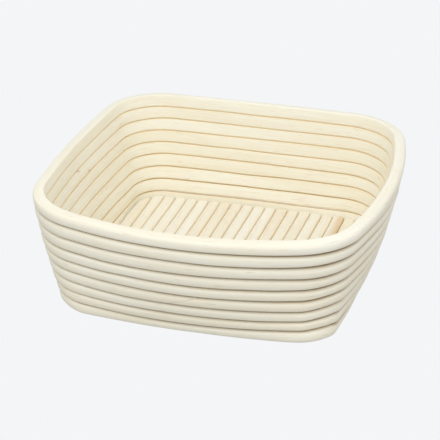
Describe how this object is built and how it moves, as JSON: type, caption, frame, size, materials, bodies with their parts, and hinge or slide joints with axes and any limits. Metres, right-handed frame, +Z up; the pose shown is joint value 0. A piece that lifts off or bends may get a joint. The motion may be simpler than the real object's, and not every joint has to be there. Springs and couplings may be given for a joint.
{
  "type": "banneton basket",
  "caption": "Square open proofing basket with bowed sides, a coiled round cane wall that flares to the rim, and a floor of straight canes on cross battens.",
  "frame": {"origin": "middle of the plane that the cross battens stand on", "axes": "+Z up to the rim, +Y from the front side to the rear side along the floor canes, +X to the right side"},
  "size_m": [0.2481, 0.2574, 0.0884],
  "materials": {
    "wall_cane": "peeled round rattan cane, matt, cream with fine lengthwise grain",
    "floor_cane": "peeled round rattan cane, matt, slightly darker with tan streaks",
    "batten": "planed unfinished softwood",
    "steel": "bright wire"
  },
  "bodies": {
    "root": {"wall_cane_upper": "wall_cane", "wall_cane_middle": "wall_cane", "wall_cane_lower": "wall_cane", "floor_cane_01": "floor_cane", "floor_cane_02": "floor_cane", "floor_cane_03": "floor_cane", "floor_cane_04": "floor_cane", "floor_cane_05": "floor_cane", "floor_cane_06": "floor_cane", "floor_cane_07": "floor_cane", "floor_cane_08": "floor_cane", "floor_cane_09": "floor_cane", "floor_cane_10": "floor_cane", "floor_cane_11": "floor_cane", "floor_cane_12": "floor_cane", "floor_cane_13": "floor_cane", "floor_cane_14": "floor_cane", "floor_cane_15": "floor_cane", "floor_cane_16": "floor_cane", "floor_cane_17": "floor_cane", "floor_cane_18": "floor_cane", "floor_cane_19": "floor_cane", "floor_cane_20": "floor_cane", "floor_cane_21": "floor_cane", "cross_batten_front": "batten", "cross_batten_rear": "batten", "batten_nail_01": "steel", "batten_nail_02": "steel", "batten_nail_03": "steel", "batten_nail_04": "steel", "batten_nail_05": "steel", "batten_nail_06": "steel", "batten_nail_07": "steel", "batten_nail_08": "steel", "batten_nail_09": "steel", "batten_nail_10": "steel", "batten_nail_11": "steel", "batten_nail_12": "steel", "batten_nail_13": "steel", "batten_nail_14": "steel", "batten_nail_15": "steel", "batten_nail_16": "steel", "batten_nail_17": "steel", "batten_nail_18": "steel", "batten_nail_19": "steel", "batten_nail_20": "steel", "batten_nail_21": "steel", "wall_pin_01": "steel", "wall_pin_02": "steel", "wall_pin_03": "steel", "wall_pin_04": "steel", "wall_pin_05": "steel", "wall_pin_06": "steel", "wall_pin_07": "steel", "wall_pin_08": "steel", "wall_pin_09": "steel", "wall_pin_10": "steel", "wall_pin_11": "steel", "wall_pin_12": "steel"}
  },
  "joints": []
}
